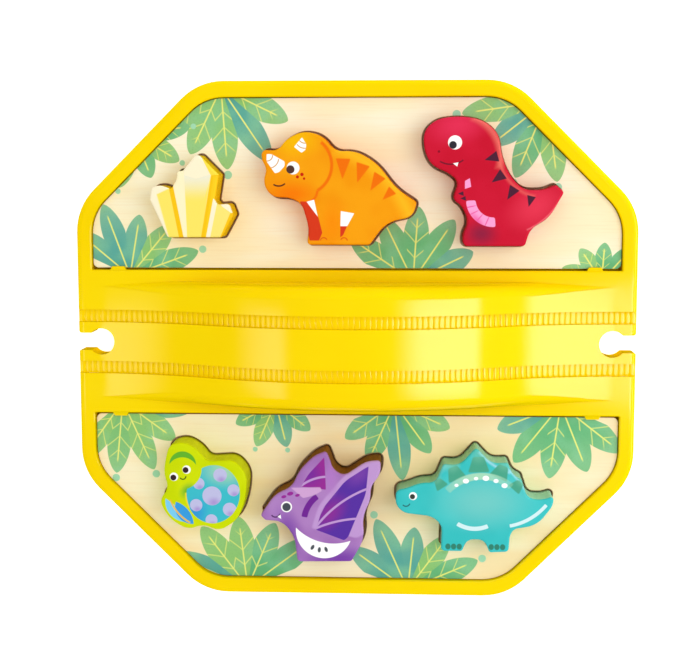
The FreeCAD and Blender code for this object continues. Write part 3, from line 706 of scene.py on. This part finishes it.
def crystal_print(paint, flat):
    cream, face, gold = tint(253, 241, 206), tint(250, 229, 100), tint(247, 196, 22)
    height = flat.part("Y")
    paint = paint.painted(facet(flat, (-104, 80), (-88, 80), (-82, 50), (-92, 50)), cream)
    paint = paint.painted(facet(flat, (-96, 74), (-89.6, 77), (-84.6, 51), (-89.8, 51), soft=0.5),
                          face)
    paint = paint.painted(facet(flat, (-88.2, 86), (-78.8, 93), (-70, 84), (-74, 51), (-84, 51)),
                          face)
    paint = paint.painted(facet(flat, (-86, 96), (-66, 96), (-69.2, 83.4), (-73, 70), (-84, 70))
                          * height.step(70, 84), tint(240, 236, 210))
    paint = paint.painted(facet(flat, (-84.5, 84), (-78.8, 92.4), (-74.2, 92.4), (-69.6, 83.6),
                                (-76.5, 81.6)), cream)
    paint = paint.painted(facet(flat, (-88.4, 80), (-86, 86), (-82.4, 86), (-81.2, 51), (-83, 51)),
                          tint(253, 242, 196))
    paint = paint.painted(facet(flat, (-90, 77.4), (-87.8, 78), (-82.6, 51), (-84.9, 51)), gold)
    paint = paint.painted(facet(flat, (-73.6, 91.6), (-69.2, 83), (-64, 82), (-66, 92)),
                          tint(250, 222, 70))
    paint = paint.painted(facet(flat, (-69.1, 83.2), (-64, 83.6), (-66.6, 70), (-72, 51),
                                (-74.8, 51)), gold)
    paint = paint.painted(facet(flat, (-68, 83), (-65.8, 82.6), (-71.6, 51), (-73, 51), soft=0.4)
                          * 0.5, tint(253, 214, 40))
    paint = paint.painted(facet(flat, (-67.2, 72), (-54, 72), (-55, 60), (-61, 51), (-71.8, 51)),
                          tint(250, 230, 118))
    paint = paint.painted(facet(flat, (-66.2, 71), (-58, 71), (-58.6, 64.4), (-63.6, 67.8)), cream)
    paint = paint.painted(facet(flat, (-68.2, 72), (-66.3, 70), (-70.4, 51), (-72.4, 51)), cream)
    return paint.painted(facet(flat, (-59.9, 65), (-55, 65), (-61.8, 51), (-66, 51)), gold)


painted_piece("crystal_piece", tint(252, 232, 124), tint(253, 236, 140),
              tint(255, 214, 14), crystal_print)

# Three-horned piece, orange. White banded horns, a round frill, a red far leg between white
# gaps, and rust wedges along the back.

def three_horn_print(paint, flat):
    rust, red, brown = tint(240, 112, 8), tint(214, 58, 28), tint(98, 52, 28)
    paint = paint.painted(glow(flat, -28, 100, 17, 12), tint(245, 184, 6))
    # The lighter golden band down the back's upper right edge is a painted highlight of the light
    # from the right.
    paint = paint.painted(bow(flat, (-8, 96), (12, 85), (28, 62), 5, soft=4), tint(249, 186, 30))
    paint = paint.painted(glow(flat, -30, 74, 18, 9), tint(245, 122, 2))
    paint = paint.painted(glow(flat, -10, 60, 10, 16), tint(246, 142, 6))
    paint = paint.painted(bow(flat, (-15.5, 99), (-10.4, 87), (-17.4, 75.8), 1.5, soft=0.4), rust)
    paint = paint.painted(bow(flat, (-17.4, 75.8), (-19.2, 71.6), (-25, 70.4), 1.2, soft=0.3), rust)
    paint = paint.painted(facet(flat, (-25.8, 70.6), (-22.4, 70.4), (-16.9, 63), (-15, 55.4),
                                (-16.6, 51.6), (-21.2, 51.6)), red)
    paint = paint.painted(facet(flat, (-22.6, 70.4), (-19, 71.4), (-17.2, 63.2)), WHITE)
    paint = paint.painted(facet(flat, (-6.2, 59), (-2.8, 59), (-4.9, 54.2), (-6.3, 53.2)), red)
    paint = paint.painted(facet(flat, (-6, 65.9), (0.5, 64.8), (-2.9, 58.6), (-6.2, 58.6)), WHITE)
    for place in ((-5, 86.2, -92, 10), (3.4, 84, -108, 9.5), (10.6, 79.4, -122, 9),
                  (16.6, 73.6, -136, 7)):
        stripe = wedge(flat, *place, slim=0.36, root_share=1 / 2, rounding=0.9, soft=0.25)
        paint = paint.painted(stripe, rust)
    horns = (((-41.9, 93.4), (-39.6, 93.4), (-33.2, 89.8), (-33.2, 87.6), (-36, 84.6), (-38, 84.2),
              (-42, 90)),
             ((-24.7, 101.4), (-22.6, 98), (-23, 95.4), (-25, 94), (-28.6, 96.8)))
    bands = (((-42.4, 90.2), (-40.6, 90.3), (-39.1, 92.9)),
             ((-40.8, 86.6), (-38, 87.6), (-36.1, 91)),
             ((-25.9, 99.9), (-24.7, 98.9), (-22.9, 98.6)),
             ((-27.1, 98), (-25.2, 96.5), (-22.7, 96.2)))
    horn = facet(flat, *horns[0], rounding=0.8).most(facet(flat, *horns[1], rounding=0.8))
    paint = paint.painted(horn, WHITE)
    for band in bands:
        paint = paint.painted(bow(flat, *band, 0.5) * horn, tint(214, 160, 96))
    paint = eye(paint, flat, -29.1, 86.7, 3.1, -30.4, 86, 2, tint(84, 56, 50))
    for x, y, radius in ((-24.8, 83.6, 0.85), (-27, 82.4, 0.75), (-23.8, 81.6, 0.6)):
        paint = paint.painted(spot(flat, x, y, radius), tint(200, 30, 12))
    for x, turn in ((-14.4, 1), (-4.4, -1)):
        claw = bow(flat, (x - 1.6, 51.8 - 0.2 * turn), (x, 53), (x + 1.6, 51.8 + 0.2 * turn), 0.6)
        paint = paint.painted(claw, tint(224, 96, 16))
    return paint.painted(bow(flat, (-38.7, 78.8), (-36, 78), (-33.1, 79.2), 0.75), brown)


painted_piece("three_horn_piece", tint(242, 150, 8), tint(245, 160, 14),
              tint(250, 136, 10), three_horn_print)

# Big-headed piece, crimson. One small tooth, a banded pink belly, two small claws and plum
# wedges down the back.

def big_head_print(paint, flat):
    plum, pink = tint(78, 36, 56), tint(247, 160, 210)
    paint = paint.painted(glow(flat, 50, 107, 20, 12, 10), tint(224, 46, 82))
    paint = paint.painted(glow(flat, 88, 68, 20, 14, 30), tint(226, 52, 78))
    paint = paint.painted(glow(flat, 62, 55, 11, 9), tint(146, 32, 64))
    # Coral and pink bands just inside the head's, back's and tail's right edges are painted
    # highlights: the light's sheen on the rounded top edge, painted on as colour.
    paint = paint.painted(bow(flat, (58, 110.5), (69.4, 99), (70.4, 87), 1.8, soft=2.2) * 0.75,
                          tint(246, 128, 112))
    paint = paint.painted(bow(flat, (70.4, 90), (76, 79.4), (87, 73), 0.8, soft=1.4) * 0.7,
                          tint(244, 112, 104))
    paint = paint.painted(bow(flat, (100, 72), (95.5, 65.5), (84, 57), 0.3, soft=0.6) * 0.8,
                          tint(248, 130, 140))
    belly = bow(flat, (56.8, 71), (59.6, 64.2), (68.6, 60.6), 4.6)
    paint = paint.painted(belly, pink)
    paint = paint.painted(glow(flat, 60, 61, 8, 3, -50) * belly, tint(240, 104, 172))
    for x, y, turn in ((56.5, 68, 12), (58, 65, 26), (60.8, 62.4, 48), (64.6, 60.9, 66)):
        paint = paint.painted(spot(flat, x, y, 3, 0.3, turn) * belly, tint(236, 100, 166))
    paint = paint.painted(facet(flat, (53.9, 80.4), (56.2, 81.7), (56.9, 77.6), (53.9, 76.6)), pink)
    for x, y in ((51.9, 74.2), (53, 71.9)):
        claw = facet(flat, (x - 1.4, y + 0.1), (x + 1.2, y + 1.3), (x + 1.5, y - 1))
        paint = paint.painted(claw, plum)
    for place in ((67.4, 91.6, 196, 6.6), (70.4, 82.4, 216, 7), (76.6, 75.2, 238, 6.8),
                  (85.4, 71.4, 256, 5.4)):
        stripe = wedge(flat, *place, slim=0.4, root_share=1 / 3, rounding=0.4)
        paint = paint.painted(stripe, plum)
    paint = eye(paint, flat, 49, 98.8, 3.35, 48, 97.6, 1.85, tint(48, 48, 56))
    paint = paint.painted(spot(flat, 41.3, 94.5, 0.6), tint(140, 20, 40))
    paint = paint.painted(bow(flat, (41.8, 89.8), (47.4, 88.4), (53, 90.4), 0.7),
                          tint(118, 28, 46))
    return paint.painted(facet(flat, (48.1, 88.8), (50.7, 89.3), (50.1, 87.3), rounding=0.2), WHITE)


painted_piece("big_head_piece", tint(198, 20, 46), tint(204, 24, 52),
              tint(206, 62, 52), big_head_print)

# Hatchling piece, lime and teal. A small lizard with a green crest hugs its egg, which is teal
# with lilac spots.

def hatchling_print(paint, flat):
    leaf, lilac = tint(98, 178, 46), tint(190, 190, 226)
    paint = paint.painted(glow(flat, -82.6, -73.4, 6.5, 5, 40), leaf)
    head = spot(flat, -86.5, -62, 10.9)
    egg = spot(flat, -70, -75, 13.3, 14.8, -12) * (1.0 - head)
    paint = paint.painted(egg, tint(62, 188, 200))
    paint = paint.painted(glow(flat, -64, -63, 16, 11) * egg, tint(158, 212, 176))
    paint = paint.painted(glow(flat, -80, -86, 9, 13, -30) * egg, tint(50, 150, 214))
    for x, y, radius in ((-66.4, -65.2, 3.4), (-77.2, -69.6, 2.9), (-70.6, -75.8, 4.8),
                         (-59.8, -72.8, 3), (-61.8, -82.6, 3.4), (-78.6, -80.6, 3.1),
                         (-71, -88.2, 3)):
        paint = paint.painted(spot(flat, x, y, radius) * egg, lilac)
        paint = paint.painted(glow(flat, x + 0.2 * radius, y - 0.7 * radius, radius, 0.8 * radius)
                              * spot(flat, x, y, radius) * egg, tint(170, 150, 210))
    fronds = (((-94, -77.4), (-93, -83.6), (-83.8, -89.2), (-88, -82.4), tint(122, 204, 240)),
              ((-88.8, -79), (-88.4, -85.4), (-80, -90.2), (-82.8, -83), tint(58, 156, 222)))
    for first, outer, last, inner, blue in fronds:
        paint = paint.painted(between_arcs(flat, first, outer, last, inner), blue)
    paint = paint.painted(bow(flat, (-91.6, -78), (-88.2, -84.2), (-81.8, -89.6), 0.8, soft=0.3),
                          tint(240, 188, 40))
    paint = paint.painted(bow(flat, (-83.8, -74.4), (-83.4, -78.4), (-82.2, -82), 0.7, soft=0.3),
                          tint(238, 214, 50))
    paint = paint.painted(between_arcs(flat, (-91.8, -60), (-85.8, -53.4), (-78.4, -60.2),
                                       (-85.6, -56.4)), leaf)
    paint = eye(paint, flat, -83.2, -62.6, 2.1, -83.7, -62.8, 1.5, tint(58, 40, 44))
    paint = eye(paint, flat, -89.6, -66.3, 2.1, -89.9, -66.7, 1.5, tint(58, 40, 44))
    return paint.painted(bow(flat, (-86.5, -66.7), (-84.9, -67.5), (-83.6, -65.9), 0.6),
                         tint(70, 96, 22))


painted_piece("hatchling_piece", tint(198, 216, 0), tint(206, 223, 6),
              tint(224, 238, 30), hatchling_print)

# Winged piece, purple. Pale ribs divide its two wings into violet fields, and its belly is a
# white crescent.

def winged_print(paint, flat):
    pale, violet, magenta = tint(190, 150, 208), tint(88, 50, 160), tint(150, 46, 148)
    paint = paint.painted(glow(flat, -6, -107, 26, 10), tint(122, 66, 166))
    paint = paint.painted(glow(flat, -32, -93, 8, 18, 20), tint(132, 80, 170))
    wing = facet(flat, (-18.6, -92.4), (-15.6, -82), (-4, -67.4), (8.8, -59), (11.8, -60),
                 (8.6, -68), (6, -76), (5, -86), (1.6, -92.6), (-4.6, -97.6), rounding=1.0)
    paint = paint.painted(facet(flat, (-20.8, -91.6), (-17.2, -80), (-5, -65.2), (8, -55.6),
                                (18, -52), (17, -70), (13, -80), (11, -90), (2, -96.4),
                                rounding=2.0, soft=0.6), pale)
    paint = paint.painted(wing, violet)
    paint = paint.painted(glow(flat, -12, -84, 15, 9, 50) * wing, tint(138, 48, 150))
    paint = paint.painted(glow(flat, 3, -64, 11, 7, 40) * wing * 0.7, tint(128, 70, 170))
    far_wing = facet(flat, (-26, -70.6), (-22.4, -64.4), (-14.4, -55.6), (-13.8, -64), (-13.6, -72),
                     rounding=0.8)
    paint = paint.painted(glow(flat, -11, -66, 5, 12), tint(176, 120, 196))
    paint = paint.painted(far_wing, magenta)
    paint = paint.painted(glow(flat, -22, -64, 9, 9) * far_wing, tint(120, 46, 156))
    for first, middle, last in (((-19.4, -92), (-12, -83.4), (10.6, -70)),
                                ((-19.4, -92), (-11, -88.8), (7.4, -86.4)),
                                ((-19.4, -92), (-14, -79), (9.6, -58.6))):
        paint = paint.painted(bow(flat, first, middle, last, 1.1) * wing, pale)
    paint = paint.painted(bow(flat, (-27, -71), (-20, -66.8), (-13, -65.4), 1.1) * far_wing, pale)
    paint = paint.painted(bow(flat, (-24.4, -86), (-21.8, -79.4), (-18, -75.4), 3.0),
                          tint(112, 40, 146))
    paint = paint.painted(facet(flat, (-31, -71.2), (-16.4, -70.8), (-15.6, -72.6), (-19.6, -75),
                                (-25, -76.4), rounding=1.0, soft=0.3), tint(206, 162, 210))
    paint = paint.painted(between_arcs(flat, (-28.6, -91.4), (-18.2, -106.4), (-1.4, -97.8),
                                       (-15.4, -98.8)), WHITE)
    for x, y, turn in ((-20.4, -101.4, 60), (-17, -102.6, 85), (-13.6, -102.4, 110)):
        paint = paint.painted(spot(flat, x, y, 1.4, 0.8, turn), tint(80, 86, 92))
    for x, y, wide in ((-34.6, -75.8, 1.3), (-31.4, -74.2, 1.6), (-27.8, -75, 1.2)):
        paint = paint.painted(spot(flat, x, y, wide, 0.6 * wide, 16), magenta)
    paint = eye(paint, flat, -33.3, -80.9, 2.75, -33.3, -81, 2.1, tint(72, 78, 88))
    paint = paint.painted(bow(flat, (-40.8, -85.2), (-38.6, -86.2), (-36.6, -84.5), 0.7),
                          tint(88, 50, 104))
    return paint.painted(facet(flat, (-37.8, -86), (-36.3, -84.9), (-36, -87.1), rounding=0.2),
                         WHITE)


painted_piece("winged_piece", tint(160, 110, 180), tint(174, 128, 192),
              tint(150, 102, 44), winged_print)

# Plated piece, turquoise. Dark plates stand along its back over a pale band with white dots,
# and light stripes run along its belly and tail.

def plated_print(paint, flat):
    plate, light = tint(74, 164, 136), tint(210, 238, 240)
    paint = paint.painted(glow(flat, 64, -77, 32, 19), tint(112, 202, 196))
    paint = paint.painted(bow(flat, (40, -66.5), (46.5, -59), (52, -58), 2.4, soft=1.6) * 0.6,
                          tint(130, 212, 208))
    # The light blue bands along the back's upper right edge are painted highlights: the light's
    # sheen on the rounded top edge.
    paint = paint.painted(bow(flat, (62, -52.4), (69, -58.6), (77, -62.4), 0.9, soft=0.9) * 0.8,
                          tint(178, 222, 240))
    paint = paint.painted(bow(flat, (76, -60.4), (81.4, -66.4), (86, -72.6), 0.7, soft=0.8) * 0.7,
                          tint(178, 222, 240))
    for x, y, turn, tall in ((43, -68.6, 124, 5.4), (50.4, -63.4, 112, 7.6), (61.8, -58.9, 92, 8.6),
                             (72.6, -62.4, 66, 7.6), (80.6, -69.2, 48, 5.8)):
        root, ahead, aside = mark_axes(x, y, turn, tall, slim=0.62, root_share=0.4)
        crown = root + ahead * 0.9
        paint = paint.painted(facet(flat, tuple(root + aside), tuple(root - aside),
                                    tuple(crown - aside * 0.5), tuple(crown + aside * 0.5),
                                    rounding=1.6, soft=0.3), plate)
        paint = paint.painted(glow(flat, *(root + ahead), tall * 0.7) * 0.5, tint(122, 196, 166))
    band = bow(flat, (46.6, -71.8), (62, -64.4), (78, -69.4), 3.4, soft=0.4)
    paint = paint.painted(band * glow(flat, 61, -67, 27, 40), tint(166, 218, 186))
    for x, y, radius in ((51, -69, 0.8), (55.6, -66.8, 1.2), (60.6, -65.5, 0.85),
                         (65.4, -65.3, 1.3), (70.4, -66.6, 1), (74.6, -68.9, 1.2)):
        paint = paint.painted(spot(flat, x, y, radius * 1.25, radius), WHITE)
    paint = paint.painted(bow(flat, (51.6, -88.4), (59, -90.8), (66.6, -89.4), 2.1), light)
    paint = paint.painted(bow(flat, (77.4, -89.2), (88.2, -84.8), (95.2, -78.4), 1.7), light)
    for x in (47, 49.8, 52.6, 68.4, 71.2, 74):
        paint = paint.painted(spot(flat, x, -100, 1.3, 1.5), tint(54, 130, 110))
    paint = eye(paint, flat, 29.6, -74.7, 2, 29.3, -75, 1.3, tint(58, 64, 56))
    return paint.painted(bow(flat, (24.6, -79.2), (26.1, -79.9), (28, -78.5), 0.6),
                         tint(48, 104, 104))


painted_piece("plated_piece", tint(56, 190, 190), tint(66, 198, 198),
              tint(170, 224, 188), plated_print)
